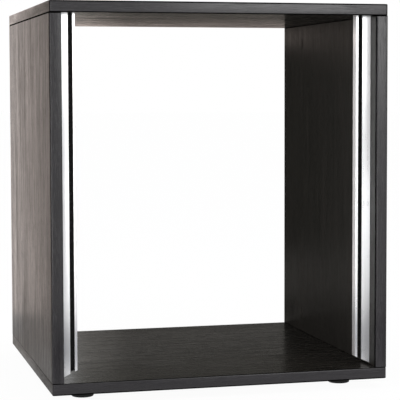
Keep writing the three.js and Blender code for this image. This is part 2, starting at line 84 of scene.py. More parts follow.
# Lamps, with a spread in degrees for those that don't shine to all sides
FULL_SPREAD = 180.0
LAMPS = {
    "overhead": {
        "place": (0.2, -0.7, 2.5), "aim": (0.0, 0.0, 0.3), "size": (1.8, 1.8),
        "radiance": 1.5, "colour": WHITE,
    },
    "front_right": {
        "place": (1.2, -3.1, 1.0), "aim": (0.1, 0.0, 0.4), "size": (1.2, 1.1),
        "radiance": 4.8, "colour": WHITE,
    },
    "front_left": {
        "place": (-1.2, -2.35, 0.475), "aim": (0.0, 0.0, 0.4), "size": (0.8, 0.94),
        "radiance": 6.5, "colour": WHITE,
    },
    "low_right": {
        "place": (0.12, -1.25, 0.165), "aim": (0.4, -0.22, 0.165), "size": (0.24, 0.27),
        "radiance": 0.36, "colour": WHITE, "spread": 30.0,
    },
    "low_left": {
        "place": (-0.62, -1.25, 0.165), "aim": (-0.4, -0.22, 0.165), "size": (0.24, 0.27),
        "radiance": 0.36, "colour": WHITE, "spread": 30.0,
    },
    "rear_left": {
        "place": (-0.326, 0.7, 0.4), "aim": (-0.27, -1.0, 0.35), "size": (0.12, 0.9),
        "radiance": 2.4, "colour": (1.0, 0.82, 0.74),
    },
}

# Upright glowing cards between two points of the floor, seen only in reflections, where they paint light and
# dark reflections with tones by height. One is paler towards its first point.
CARD_STRENGTH = 1.07
CARD_PALER = 2.4
CARDS = {
    "card_behind": {
        "from": (-0.13, 0.4), "to": (1.4, 0.4), "top": 0.9, "paler_until": -0.02,
        "tones": (
            (0.045, (0.05, 0.05, 0.045)),
            (0.07, (0.23, 0.22, 0.207)),
            (0.125, (0.23, 0.22, 0.207)),
            (0.17, (0.075, 0.075, 0.066)),
            (0.56, (0.075, 0.075, 0.066)),
            (0.575, (0.88, 0.745, 0.68)),
            (0.592, (0.88, 0.745, 0.68)),
            (0.6, (0.03, 0.03, 0.026)),
        ),
    },
    "card_rear_left": {
        "from": (-0.33, 0.33), "to": (-1.3, 0.33), "top": 0.8, "paler_until": None,
        "tones": ((0.0, (0.65, 0.565, 0.52)),),
    },
    "card_left": {
        "from": (-1.2, -1.9), "to": (-1.2, 0.3), "top": 1.6, "paler_until": None,
        "tones": ((0.0, (0.05, 0.05, 0.05)),),
    },
    "card_right": {
        "from": (1.5, -1.6), "to": (1.5, 0.4), "top": 1.6, "paler_until": None,
        "tones": ((0.0, (0.05, 0.05, 0.05)),),
    },
}

# Wood foil. Each noise is given by its scale, detail, roughness and distortion.
AXES = {"x": 0, "y": 1, "z": 2}
NOISE_SPAN = (0.3, 0.7)
PORE_SPAN = (0.56, 0.68)
WAVES = (1.0, 3.0, 0.5)
WAVES_ACROSS = 5.0
WAVES_ALONG = 3.2
GRAIN_SQUEEZE = 0.028
STREAKS = (95.0, 4.0, 0.62, 0.25)
FIBRES = (620.0, 3.0, 0.6)
PORES = (1500.0, 1.5, 0.4)
CLOUDS = (4.0, 2.0)
FLECKS = (1.0, 2.0, 0.6)
FLECKS_ACROSS = 110.0
FLECKS_ALONG = 30.0
STREAK_TONE = 0.55
FIBRE_TONE = 0.3
CLOUD_TONE = 0.15
PORE_GLOSS = 0.12
FLECK_GLOSS = 0.028
FIBRE_HEIGHT = 0.35
FOIL_BUMP = 0.5
LAMINATE_TONES = (
    (0.12, (0.0062, 0.0056, 0.0046)),
    (0.45, (0.0125, 0.0113, 0.0094)),
    (0.7, (0.0190, 0.0170, 0.0143)),
    (0.95, (0.0310, 0.0272, 0.0228)),
)
BAND_TONES = (
    (0.1, (0.0072, 0.0064, 0.0074)),
    (0.5, (0.0122, 0.0110, 0.0126)),
    (0.9, (0.0195, 0.0176, 0.0200)),
)
SIDE_FOIL = {
    "tones": LAMINATE_TONES, "waviness": 0.05, "rough": (0.31, 0.47), "refraction": 1.21,
    "pore_depth": 0.6, "bump": 0.00012,
}
PANEL_FOIL = {**SIDE_FOIL, "rough": (0.16, 0.32)}
BAND_FOIL = {
    "tones": BAND_TONES, "waviness": 0.012, "rough": (0.2, 0.27), "refraction": 1.45,
    "pore_depth": 0.35, "bump": 0.00005,
}

# Widths of the dark lines: dark joints with painted shade of their grooves where the boards meet and behind
# the front bands, and painted shade along the outer arrises
JOINT_AND_SHADE_COLOUR = (0.0012, 0.0011, 0.001)
SIDE_LINES = {"joint": 0.0024, "edge": 0.0045}
END_LINES = {"joint": 0.0024}
BAND_LINES = {"joint": 0.003, "rim": 0.0021}
JOINT_LEVELS = (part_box("bottom_panel")[1].z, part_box("top_panel")[0].z)
JOINT_SHARES = (0.5, 1.0)
RIM_LEVELS = (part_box("bottom_panel")[0].z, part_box("top_panel")[1].z)
EDGE_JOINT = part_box("left_side_front_edge_band")[1].y

# Metals, mouldings and dowels. The lines and the skin have no scale here, because each material has its own.
METAL_LINES = (3.0, 0.6)
METAL_PATCHES = (30.0, 3.0, 0.5)
METAL_PATCH_GLOSS = 0.02
METAL_DARKER = 0.94
METAL_BUMP = 0.25
METALS = {
    "rail_aluminium": {
        "colour": (0.96, 0.962, 0.97), "rough": 0.3, "spread": 0.02, "stretch": (1.0, 1.0, 0.004),
        "scale": 2600.0, "bump": 0.000003, "drawn": 1.0, "metallic": 0.78,
    },
    "screw_zinc": {
        "colour": (0.6, 0.6, 0.58), "rough": 0.28, "spread": 0.08, "stretch": (1.0, 1.0, 1.0),
        "scale": 1200.0, "bump": 0.00002, "drawn": 0.0, "metallic": 1.0,
    },
    "cam_zinc": {
        "colour": (0.42, 0.43, 0.44), "rough": 0.45, "spread": 0.08, "stretch": (1.0, 1.0, 1.0),
        "scale": 700.0, "bump": 0.00005, "drawn": 0.0, "metallic": 1.0,
    },
}
# Painted shade: a near-black matt colour inside the rails' closed channels
CHANNEL_SHADE_COLOUR = (0.03, 0.03, 0.03)
CHANNEL_DEPTHS = (0.00204, 0.0116)
CHANNEL_ROOM = 0.0006
MOULDED_SKIN = (2.0, 0.5)
MOULDED_PATCHES = (60.0, 3.0, 0.5)
MOULDED_TINT_SPAN = (0.35, 0.65)
MOULDED_LIGHTER = 1.5
MOULDED_GLOSS = 0.05
MOULDED_BUMP = 0.4
MOULDINGS = {
    "strip_black": {
        "colour": (0.003, 0.0028, 0.0027), "rough": 0.78, "refraction": 1.2,
        "scale": 1600.0, "bump": 0.00003,
    },
    "foot_rubber": {
        "colour": (0.0035, 0.0035, 0.0034), "rough": 0.62, "refraction": 1.32,
        "scale": 2200.0, "bump": 0.00008,
    },
}
DOWEL_FIBRES = (900.0, 3.0, 0.6)
DOWEL_TONES = ((0.3, (0.42, 0.27, 0.15)), (0.7, (0.62, 0.45, 0.28)))
DOWEL_WAVINESS = 0.002
DOWEL_ROUGH = 0.65
DOWEL_BUMP = 0.3
DOWEL_BUMP_HEIGHT = 0.00005

# Boards, covers and feet
SMOOTH_ANGLE = math.radians(35)
ARRIS_RADIUS = 0.0018
CORNER_RADIUS = 0.003
ARRIS_STEPS = 6
FILLET_STEPS = 5
SHELL_STEPS = 64
SEAT_GAP = 0.00002
COVER_RADIUS = 0.0095
COVER_THICKNESS = 0.0003
COVER_RIM = 0.0002
FOOT_BASE_RADIUS = 0.0173
FOOT_RIM = 0.003
FOOT_EDGE_RADIUS = 0.002
FOOT_RECESS_RADIUS = 0.007
FOOT_RECESS_DEPTH = 0.007
FOOT_BORE_RADIUS = 0.0025
FOOT_SMALL_FILLET = 0.0005

# Screws. A pan head's corners are shares of its radius and height, and their fillets of its height.
SCREW_STEPS = 32
SCREW_THREAD_PITCH = 0.0016
SCREW_CORE_SHARE = 0.72
SCREW_ROOT_SPAN = (0.3, 0.7)
SCREW_POINT = 0.004
PAN_HEAD_CORNERS = ((0.0, 1.0, 0.0), (0.55, 0.98, 0.3), (1.0, 0.55, 0.25))
PAN_HEAD_SEAT_FILLET = 0.08
RAIL_SCREW = {"shank": 0.0018, "head": 0.0036, "head_height": 0.0024}
FOOT_SCREW = {"shank": 0.0022, "head": 0.0044, "head_height": 0.003}
RECESS_LENGTH_SHARE = 0.62
RECESS_WIDTH_SHARE = 0.2
RECESS_DEPTH_SHARE = 0.72
RECESS_RISE_SHARE = 1.1
RECESS_TAPER = 0.45

# Threaded strips
UNIT_HEIGHT = 0.04445
HOLE_PITCH = 0.015875
HOLES_IN_UNIT = 3
TAPPED_RADIUS = 0.0025
HOLE_CHAMFER = 0.0004
THREAD_DEPTH = 0.0004
THREAD_PITCH = 0.001
THREAD_ROWS_IN_PITCH = 4
EDGE_POINTS = 8
POINTS_IN_METRE = 1e7
END_SLOPE = 0.468


# Node trees

def node(tree, kind, inputs=None, **settings):
    """A node whose inputs are set to values or linked from sockets."""
    made = tree.nodes.new(kind)
    for name, value in settings.items():
        setattr(made, name, value)
    for name, value in (inputs or {}).items():
        if isinstance(value, bpy.types.NodeSocket):
            tree.links.new(value, made.inputs[name])
        else:
            made.inputs[name].default_value = value
    return made


def math_node(tree, operation, first, second, clamp=False):
    made = node(tree, "ShaderNodeMath", {0: first, 1: second}, operation=operation, use_clamp=clamp)
    return made.outputs[0]


def vector_node(tree, operation, first, second):
    return node(tree, "ShaderNodeVectorMath", {0: first, 1: second}, operation=operation).outputs[0]


def object_place(tree):
    return node(tree, "ShaderNodeTexCoord").outputs["Object"]


def axes_of(tree, vector):
    return node(tree, "ShaderNodeSeparateXYZ", {0: vector}).outputs


def opaque(colour):
    return (*colour, 1.0)


def new_material(name):
    material = bpy.data.materials.new(name)
    material.use_nodes = True
    material.node_tree.nodes.clear()
    return material, material.node_tree


def finish_material(tree, shader):
    output = tree.nodes.new("ShaderNodeOutputMaterial")
    tree.links.new(shader, output.inputs["Surface"])


def noise(tree, place, scale, detail, roughness=0.5, distortion=0.0, output="Fac"):
    inputs = {
        "Vector": place,
        "Scale": scale,
        "Detail": detail,
        "Roughness": roughness,
        "Distortion": distortion,
    }
    return node(tree, "ShaderNodeTexNoise", inputs).outputs[output]


def ramp(tree, factor, stops):
    """A colour ramp. Its elements are made one by one, because a new ramp starts with two."""
    made = node(tree, "ShaderNodeValToRGB", {"Fac": factor})
    elements = made.color_ramp.elements
    while len(elements) > len(stops):
        elements.remove(elements[-1])
    while len(elements) < len(stops):
        elements.new(0.5)
    for element, (position, colour) in zip(elements, stops):
        element.position = position
        element.color = opaque(colour)
    return made.outputs["Color"]


def level(tree, value, source, target=(0.0, 1.0)):
    """The value carried over from one span to another, and held at the ends."""
    inputs = {
        "Value": value,
        "From Min": source[0],
        "From Max": source[1],
        "To Min": target[0],
        "To Max": target[1],
    }
    return node(tree, "ShaderNodeMapRange", inputs).outputs["Result"]


def mixed(tree, factor, first, second):
    """A mix of two colours. Its sockets go by number, because other data types' sockets share their names."""
    made = node(tree, "ShaderNodeMix", {0: factor, 6: first, 7: second}, data_type="RGBA")
    return made.outputs[2]


def within(tree, value, low, high):
    """One where the value lies between two bounds, zero elsewhere."""
    inputs = {0: value, 1: (low + high) / 2, 2: (high - low) / 2}
    return node(tree, "ShaderNodeMath", inputs, operation="COMPARE").outputs[0]


def grain_place(tree, along, waviness):
    """Object coordinates, and the same squeezed along the grain, with slow waves across it."""
    raw = object_place(tree)
    squeeze = [1.0, 1.0, 1.0]
    squeeze[along] = GRAIN_SQUEEZE
    slow = [WAVES_ACROSS] * 3
    slow[along] = WAVES_ALONG
    wave = noise(tree, vector_node(tree, "MULTIPLY", raw, slow), *WAVES, output="Color")
    centred = vector_node(tree, "SUBTRACT", wave, (0.5, 0.5, 0.5))
    shift = vector_node(tree, "MULTIPLY", centred, [waviness] * 3)
    moved = vector_node(tree, "ADD", raw, shift)
    return raw, vector_node(tree, "MULTIPLY", moved, squeeze)


# Materials

def dark_lines(tree, raw, widths):
    """One in narrow lines of dark joint and painted groove shade at joints and behind front bands, and of
    painted shade along outer arrises; zero elsewhere.
    """
    parts = axes_of(tree, raw)
    masks = []
    for joint, share in zip(JOINT_LEVELS, JOINT_SHARES):
        half = widths["joint"] * share / 2
        masks.append(within(tree, parts["Z"], joint - half, joint + half))
    if "edge" in widths:
        masks.append(within(tree, parts["Y"], EDGE_JOINT, EDGE_JOINT + widths["edge"]))
    if "rim" in widths:
        for rim in RIM_LEVELS:
            masks.append(within(tree, parts["Z"], rim - widths["rim"], rim + widths["rim"]))
    mask = masks[0]
    for other in masks[1:]:
        mask = math_node(tree, "MAXIMUM", mask, other)
    return mask


def wood_foil(name, along, look, line_widths=None):
    """A printed and embossed dark wood foil: streaks, fibres and short pores along one axis."""
    material, tree = new_material(name)
    raw, place = grain_place(tree, along, look["waviness"])
    streaks = noise(tree, place, *STREAKS)
    fibres = noise(tree, place, *FIBRES)
    clouds = noise(tree, raw, *CLOUDS)
    pore = level(tree, noise(tree, place, *PORES), PORE_SPAN)
    stretch = [FLECKS_ACROSS] * 3
    stretch[along] = FLECKS_ALONG
    flecks = noise(tree, vector_node(tree, "MULTIPLY", raw, stretch), *FLECKS)
    tone = math_node(
        tree,
        "ADD",
        level(tree, streaks, NOISE_SPAN, (0.0, STREAK_TONE)),
        level(tree, fibres, NOISE_SPAN, (0.0, FIBRE_TONE)),
    )
    cloud_tone = level(tree, clouds, NOISE_SPAN, (0.0, CLOUD_TONE))
    tone = math_node(tree, "ADD", tone, cloud_tone, clamp=True)
    colour = ramp(tree, tone, look["tones"])
    darkest = opaque(look["tones"][0][1])
    pored = mixed(tree, math_node(tree, "MULTIPLY", pore, look["pore_depth"]), colour, darkest)
    pore_gloss = math_node(tree, "MULTIPLY", pore, PORE_GLOSS)
    gloss = math_node(tree, "ADD", level(tree, streaks, NOISE_SPAN, look["rough"]), pore_gloss)
    fleck_gloss = level(tree, flecks, NOISE_SPAN, (-FLECK_GLOSS, FLECK_GLOSS))
    gloss = math_node(tree, "ADD", gloss, fleck_gloss)
    height = math_node(tree, "SUBTRACT", math_node(tree, "MULTIPLY", fibres, FIBRE_HEIGHT), pore)
    bump = node(tree, "ShaderNodeBump", {"Height": height, "Strength": FOIL_BUMP, "Distance": look["bump"]})
    inputs = {
        "Base Color": pored,
        "Roughness": gloss,
        "Normal": bump.outputs["Normal"],
        "IOR": look["refraction"],
    }
    shader = node(tree, "ShaderNodeBsdfPrincipled", inputs).outputs[0]
    # Near-black lines over the foil: dark joints with painted shade in their grooves, and painted shade along
    # the arrises
    if line_widths:
        joint_and_shade_line = node(tree, "ShaderNodeBsdfDiffuse", {"Color": opaque(JOINT_AND_SHADE_COLOUR)}).outputs[0]
        mask = dark_lines(tree, raw, line_widths)
        shader = node(tree, "ShaderNodeMixShader", {0: mask, 1: shader, 2: joint_and_shade_line}).outputs[0]
    finish_material(tree, shader)
    return material


def laminate(name, along):
    """The side boards' foil where the grain is upright, the panels' elsewhere."""
    if along == AXES["z"]:
        return wood_foil(name, along, SIDE_FOIL, SIDE_LINES)
    return wood_foil(name, along, PANEL_FOIL)


def edging(name, along):
    """Smooth on the front and rear edges, and in the side boards' foil on the panels' ends."""
    if along == AXES["y"]:
        return wood_foil(name, along, SIDE_FOIL, END_LINES)
    return wood_foil(name, along, BAND_FOIL, BAND_LINES)


def channel_mask(tree, raw):
    """One inside the closed channels behind the rails' threaded strips, where shade is painted, zero
    elsewhere.
    """
    low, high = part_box("right_threaded_strip")
    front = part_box("right_rail")[0].y
    start, end = CHANNEL_DEPTHS
    parts = axes_of(tree, raw)
    aside = math_node(tree, "ABSOLUTE", parts["X"], 0.0)
    across = within(tree, aside, low.x - CHANNEL_ROOM, high.x + CHANNEL_ROOM)
    behind = within(tree, parts["Y"], front + start, front + end)
    return math_node(tree, "MULTIPLY", across, behind)


def metal(name, look):
    """A metal whose gloss varies with fine lines or mottling. A drawn one has painted shade, a near-black
    matt colour, in the rails' channels.
    """
    material, tree = new_material(name)
    raw = object_place(tree)
    place = vector_node(tree, "MULTIPLY", raw, look["stretch"])
    lines = noise(tree, place, look["scale"], *METAL_LINES)
    patches = noise(tree, raw, *METAL_PATCHES)
    rough, spread = look["rough"], look["spread"]
    line_gloss = level(tree, lines, NOISE_SPAN, (rough - spread, rough + spread))
    patch_gloss = level(tree, patches, NOISE_SPAN, (-METAL_PATCH_GLOSS, METAL_PATCH_GLOSS))
    darker = tuple(METAL_DARKER * channel for channel in look["colour"])
    tint = mixed(tree, level(tree, lines, NOISE_SPAN), opaque(darker), opaque(look["colour"]))
    bump = node(tree, "ShaderNodeBump", {"Height": lines, "Strength": METAL_BUMP, "Distance": look["bump"]})
    inputs = {
        "Base Color": tint,
        "Roughness": math_node(tree, "ADD", line_gloss, patch_gloss),
        "Normal": bump.outputs["Normal"],
        "Metallic": look["metallic"],
        "Anisotropic": look["drawn"],
    }
    shader = node(tree, "ShaderNodeBsdfPrincipled", inputs).outputs[0]
    # Painted shade inside the rails' closed channels, in place of the metal
    if look["drawn"]:
        channel_shade = node(tree, "ShaderNodeBsdfDiffuse", {"Color": opaque(CHANNEL_SHADE_COLOUR)}).outputs[0]
        mask = channel_mask(tree, raw)
        shader = node(tree, "ShaderNodeMixShader", {0: mask, 1: shader, 2: channel_shade}).outputs[0]
    finish_material(tree, shader)
    return material


def moulded(name, look):
    """A moulded plastic or rubber with a fine spark-eroded skin."""
    material, tree = new_material(name)
    raw = object_place(tree)
    skin = noise(tree, raw, look["scale"], *MOULDED_SKIN)
    patches = noise(tree, raw, *MOULDED_PATCHES)
    lighter = tuple(MOULDED_LIGHTER * channel for channel in look["colour"])
    tint = mixed(tree, level(tree, patches, MOULDED_TINT_SPAN), opaque(look["colour"]), opaque(lighter))
    rough = (look["rough"] - MOULDED_GLOSS, look["rough"] + MOULDED_GLOSS)
    bump = node(tree, "ShaderNodeBump", {"Height": skin, "Strength": MOULDED_BUMP, "Distance": look["bump"]})
    inputs = {
        "Base Color": tint,
        "Roughness": level(tree, patches, NOISE_SPAN, rough),
        "Normal": bump.outputs["Normal"],
        "IOR": look["refraction"],
    }
    finish_material(tree, node(tree, "ShaderNodeBsdfPrincipled", inputs).outputs[0])
    return material


def beech(name):
    material, tree = new_material(name)
    _, place = grain_place(tree, AXES["z"], DOWEL_WAVINESS)
    fibres = noise(tree, place, *DOWEL_FIBRES)
    bump_inputs = {"Height": fibres, "Strength": DOWEL_BUMP, "Distance": DOWEL_BUMP_HEIGHT}
    bump = node(tree, "ShaderNodeBump", bump_inputs)
    inputs = {
        "Base Color": ramp(tree, fibres, DOWEL_TONES),
        "Roughness": DOWEL_ROUGH,
        "Normal": bump.outputs["Normal"],
    }
    finish_material(tree, node(tree, "ShaderNodeBsdfPrincipled", inputs).outputs[0])
    return material


MATERIALS = {"dowel_beech": beech("dowel_beech")}
for axis_name, axis_number in AXES.items():
    MATERIALS[f"laminate_{axis_name}"] = laminate(f"laminate_{axis_name}", axis_number)
    MATERIALS[f"edge_band_{axis_name}"] = edging(f"edge_band_{axis_name}", axis_number)
for metal_name, metal_look in METALS.items():
    MATERIALS[metal_name] = metal(metal_name, metal_look)
for moulding_name, moulding_look in MOULDINGS.items():
    MATERIALS[moulding_name] = moulded(moulding_name, moulding_look)
SLOTS = {row["node"]: row["material_slot"] for row in frame["record"]["subparts"]}


def grain_axis(name):
    """The axis that the grain of a board or band follows, by where the piece is."""
    if "_side_" in name:
        return "z"
    if name.endswith("_left_edge_band") or name.endswith("_right_edge_band"):
        return "y"
    return "x"


def material_for(name, slot):
    if slot in ("laminate", "edge_band"):
        return MATERIALS[f"{slot}_{grain_axis(name)}"]
    return MATERIALS[slot]


def dress_cad_nodes():
    for name, piece in frame["nodes"].items():
        piece.data.materials.clear()
        piece.data.materials.append(material_for(name, SLOTS[name]))


# Pieces made here

def linked_object(name, data):
    made = bpy.data.objects.new(name, data)
    bpy.context.scene.collection.objects.link(made)
    return made


def add_piece(name, shape, material, nodes=()):
    mesh = bpy.data.meshes.new(name)
    bmesh.ops.recalc_face_normals(shape, faces=shape.faces[:])
    shape.to_mesh(mesh)
    shape.free()
    mesh.polygons.foreach_set("use_smooth", [True] * len(mesh.polygons))
    mesh.set_sharp_from_angle(angle=SMOOTH_ANGLE)
    mesh.materials.append(material)
    piece = linked_object(name, mesh)
    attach(piece, BODY)
    if nodes:
        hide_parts(*nodes)
    return piece


def rounded_board(low, high, corner, arris):
    """A board between two corners, its upright edges rounded by one radius and the rest by another."""
    shape = bmesh.new()
    size = high - low
    bmesh.ops.create_cube(shape, size=1.0)
    bmesh.ops.scale(shape, vec=size, verts=shape.verts)
    bmesh.ops.translate(shape, vec=(low + high) / 2, verts=shape.verts)
    upright = [e for e in shape.edges if abs((e.verts[0].co - e.verts[1].co).z) > size.z / 2]
    settings = {"offset_type": "OFFSET", "segments": ARRIS_STEPS, "profile": 0.5, "affect": "EDGES"}
    bmesh.ops.bevel(shape, geom=upright, offset=corner, **settings)
    if arris:
        rim = [e for e in shape.edges if abs((e.verts[0].co - e.verts[1].co).z) < size.z / 2]
        bmesh.ops.bevel(shape, geom=rim, offset=arris, **settings)
    return shape


def slice_at(shape, place, normal):
    """Cuts away what lies beyond a plane and closes the cut."""
    everything = shape.verts[:] + shape.edges[:] + shape.faces[:]
    made = bmesh.ops.bisect_plane(
        shape, geom=everything, plane_co=place, plane_no=normal, clear_outer=True
    )
    edges = [item for item in made["geom_cut"] if isinstance(item, bmesh.types.BMEdge)]
    bmesh.ops.holes_fill(shape, edges=edges)


def edge_band(name):
    """The band is the slice of its whole rounded board that its node takes up."""
    prefix = name.rsplit("_", 3)[0]
    panel_low, panel_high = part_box(f"{prefix}_panel")
    band_low, band_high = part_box(name)
    low, high = panel_low.copy(), panel_high.copy()
    members = [n for n in frame["nodes"] if n.startswith(f"{prefix}_") and n.endswith("_edge_band")]
    for member in members:
        member_low, member_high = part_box(member)
        for axis in range(3):
            low[axis] = min(low[axis], member_low[axis])
            high[axis] = max(high[axis], member_high[axis])
    corner, arris = (ARRIS_RADIUS, 0) if "_side_" in name else (CORNER_RADIUS, ARRIS_RADIUS)
    shape = rounded_board(low, high, corner, arris)
    for axis in range(3):
        normal = Vector((0, 0, 0))
        normal[axis] = 1
        if band_low[axis] > low[axis] + ARRIS_RADIUS:
            slice_at(shape, band_low, -normal)
        if band_high[axis] < high[axis] - ARRIS_RADIUS:
            slice_at(shape, band_high, normal)
    material = MATERIALS[f"edge_band_{grain_axis(name)}"]
    return add_piece(name.replace("_edge_band", "_edging"), shape, material, [name])


def filleted(corners):
    """An outline of [radius, height, fillet] corners with each corner rounded by its fillet."""
    points = []
    for number, (radius, height, fillet) in enumerate(corners):
        corner = Vector((radius, height))
        if not fillet:
            points.append(corner)
            continue
        back = (Vector(corners[number - 1][:2]) - corner).normalized()
        ahead = (Vector(corners[(number + 1) % len(corners)][:2]) - corner).normalized()
        half = back.angle(ahead) / 2
        centre = corner + (back + ahead).normalized() * (fillet / math.sin(half))
        start = corner + back * (fillet / math.tan(half)) - centre
        end = corner + ahead * (fillet / math.tan(half)) - centre
        turn = start.angle_signed(end)
        for step in range(FILLET_STEPS + 1):
            swung = start.copy()
            swung.rotate(Matrix.Rotation(-turn * step / FILLET_STEPS, 2))
            points.append(centre + swung)
    return points


def turned(outline, steps=SHELL_STEPS, around=False):
    """Turns [radius, height] points about Z. A ring-shaped body has an outline that closes on itself."""
    shape = bmesh.new()
    rings = []
    for radius, height in outline:
        if radius == 0:
            rings.append([shape.verts.new((0, 0, height))])
            continue
        ring = []
        for step in range(steps):
            angle = 2 * math.pi * step / steps
            ring.append(shape.verts.new((radius * math.cos(angle), radius * math.sin(angle), height)))
        rings.append(ring)
    following = rings[1:] + (rings[:1] if around else [])
    for lower, upper in zip(rings, following):
        for step in range(steps):
            after = (step + 1) % steps
            corners = [
                lower[step % len(lower)],
                lower[after % len(lower)],
                upper[after % len(upper)],
                upper[step % len(upper)],
            ]
            shape.faces.new(list(dict.fromkeys(corners)))
    return shape


def turn_to(shape, outward):
    """Turns a shape that points up so that it points along X, by the sign given."""
    turn = Matrix.Rotation(outward * math.pi / 2, 3, "Y")
    bmesh.ops.rotate(shape, cent=(0, 0, 0), matrix=turn, verts=shape.verts)


def centre_of(name):
    low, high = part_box(name)
    return (low + high) / 2


def foot(name):
    low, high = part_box(name)
    height = high.z
    top_radius = (high.x - low.x) / 2
    small = FOOT_SMALL_FILLET
    corners = [
        (FOOT_RECESS_RADIUS, 0, small),
        (FOOT_BASE_RADIUS, 0, FOOT_EDGE_RADIUS),
        (top_radius, height - FOOT_RIM, small),
        (top_radius, height, small),
        (FOOT_BORE_RADIUS, height, 0),
        (FOOT_BORE_RADIUS, FOOT_RECESS_DEPTH, 0),
        (FOOT_RECESS_RADIUS, FOOT_RECESS_DEPTH, small),
    ]
    shape = turned(filleted(corners), around=True)
    centre = centre_of(name)
    bmesh.ops.translate(shape, vec=(centre.x, centre.y, 0), verts=shape.verts)
    return add_piece(f"{name}_moulding", shape, MATERIALS["foot_rubber"], [name])


def recess_tool(sizes, turn):
    """One arm of a cross recess, wider and longer at the head's crown than at its floor."""
    length = sizes["head"] * RECESS_LENGTH_SHARE
    width = sizes["head"] * RECESS_WIDTH_SHARE / 2
    crown = -sizes["head_height"] * RECESS_RISE_SHARE
    floor = -sizes["head_height"] * (1 - RECESS_DEPTH_SHARE)
    corners = [(-1, -1), (1, -1), (1, 1), (-1, 1)]
    shape = bmesh.new()
    rings = []
    for height, share in ((crown, 1.0), (floor, RECESS_TAPER)):
        half_length = length * share
        half_width = width * (0.5 + share / 2)
        rings.append([shape.verts.new((x * half_length, y * half_width, height)) for x, y in corners])
    for step in range(len(corners)):
        after = (step + 1) % len(corners)
        shape.faces.new([rings[0][step], rings[0][after], rings[1][after], rings[1][step]])
    shape.faces.new(rings[0])
    shape.faces.new(rings[1])
    bmesh.ops.recalc_face_normals(shape, faces=shape.faces[:])
    bmesh.ops.rotate(shape, cent=(0, 0, 0), matrix=Matrix.Rotation(turn, 3, "Z"), verts=shape.verts)
    return shape


def loose_object(name, shape):
    mesh = bpy.data.meshes.new(name)
    shape.to_mesh(mesh)
    shape.free()
    return linked_object(name, mesh)


def carved(shape, tools):
    """The shape less each tool, as a new mesh shape."""
    bmesh.ops.recalc_face_normals(shape, faces=shape.faces[:])
    body = loose_object("body", shape)
    helpers = [loose_object("tool", tool) for tool in tools]
    for helper in helpers:
        cut = body.modifiers.new("cut", "BOOLEAN")
        cut.operation = "DIFFERENCE"
        cut.solver = "EXACT"
        cut.object = helper
    finished = body.evaluated_get(bpy.context.evaluated_depsgraph_get()).to_mesh()
    result = bmesh.new()
    result.from_mesh(finished)
    for used in [body, *helpers]:
        mesh = used.data
        bpy.data.objects.remove(used)
        bpy.data.meshes.remove(mesh)
    return result


def wood_screw(sizes, length):
    """A pan-head screw with a cross recess, its seat at zero and its shank upwards."""
    head, height, shank = sizes["head"], sizes["head_height"], sizes["shank"]
    corners = [(head * out, -height * up, height * fillet) for out, up, fillet in PAN_HEAD_CORNERS]
    corners.append((head, -SEAT_GAP, height * PAN_HEAD_SEAT_FILLET))
    corners.append((shank, -SEAT_GAP, 0))
    outline = filleted(corners)
    thread_top = length - SCREW_POINT
    turns = int(thread_top / SCREW_THREAD_PITCH)
    start = thread_top - turns * SCREW_THREAD_PITCH
    for number in range(turns):
        base = start + number * SCREW_THREAD_PITCH
        for share in SCREW_ROOT_SPAN:
            outline.append(Vector((shank * SCREW_CORE_SHARE, base + SCREW_THREAD_PITCH * share)))
        outline.append(Vector((shank, base + SCREW_THREAD_PITCH)))
    outline.append(Vector((0, length)))
    tools = [recess_tool(sizes, 0), recess_tool(sizes, math.pi / 2)]
    return carved(turned(outline, SCREW_STEPS), tools)


def place_screws(names, sizes, sideways):
    """Puts one screw at each node. A sideways one points away from the cabinet's middle, the others up."""
    low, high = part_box(names[0])
    length = (high - low)[AXES["x"] if sideways else AXES["z"]] - sizes["head_height"]
    master = wood_screw(sizes, length)
    for name in names:
        low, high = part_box(name)
        place = (low + high) / 2
        shape = master.copy()
        if sideways:
            outward = 1 if place.x > 0 else -1
            turn_to(shape, outward)
            place.x = low.x + sizes["head_height"] if outward > 0 else high.x - sizes["head_height"]
        else:
            place.z = low.z + sizes["head_height"]
        bmesh.ops.translate(shape, vec=place, verts=shape.verts)
        add_piece(f"{name}_pan_head", shape, MATERIALS["screw_zinc"], [name])
    master.free()


def cam_cover(name):
    """A stick-on cover over a cam, in the boards' own foil."""
    low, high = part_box(name)
    centre = (low + high) / 2
    inward = -1 if centre.x > 0 else 1
    face = low.x if inward < 0 else high.x
    corners = [
        (0, 0, 0),
        (COVER_RADIUS, 0, 0),
        (COVER_RADIUS, COVER_THICKNESS, COVER_RIM),
        (0, COVER_THICKNESS, 0),
    ]
    shape = turned(filleted(corners))
    turn_to(shape, inward)
    bmesh.ops.translate(shape, vec=(face + inward * SEAT_GAP, centre.y, centre.z), verts=shape.verts)
    return add_piece(f"{name}_cover", shape, MATERIALS["laminate_z"])


def tooth(turns):
    """The share of a thread's depth at a place in its turn: none at its crest, all at its root."""
    return 1 - abs(2 * (turns % 1.0) - 1)


def strip_cells(floor, ceiling):
    """Bounds and centre of the strip's length that each tapped hole stands in."""
    units = int((ceiling - floor) / UNIT_HEIGHT)
    start = (floor + ceiling - units * UNIT_HEIGHT) / 2
    edge = (UNIT_HEIGHT - (HOLES_IN_UNIT - 1) * HOLE_PITCH) / 2
    cells = []
    for unit in range(units):
        base = start + unit * UNIT_HEIGHT
        for hole in range(HOLES_IN_UNIT):
            centre = base + edge + hole * HOLE_PITCH
            low = base if hole == 0 else centre - HOLE_PITCH / 2
            high = base + UNIT_HEIGHT if hole == HOLES_IN_UNIT - 1 else centre + HOLE_PITCH / 2
            cells.append((low, high, centre))
    return cells


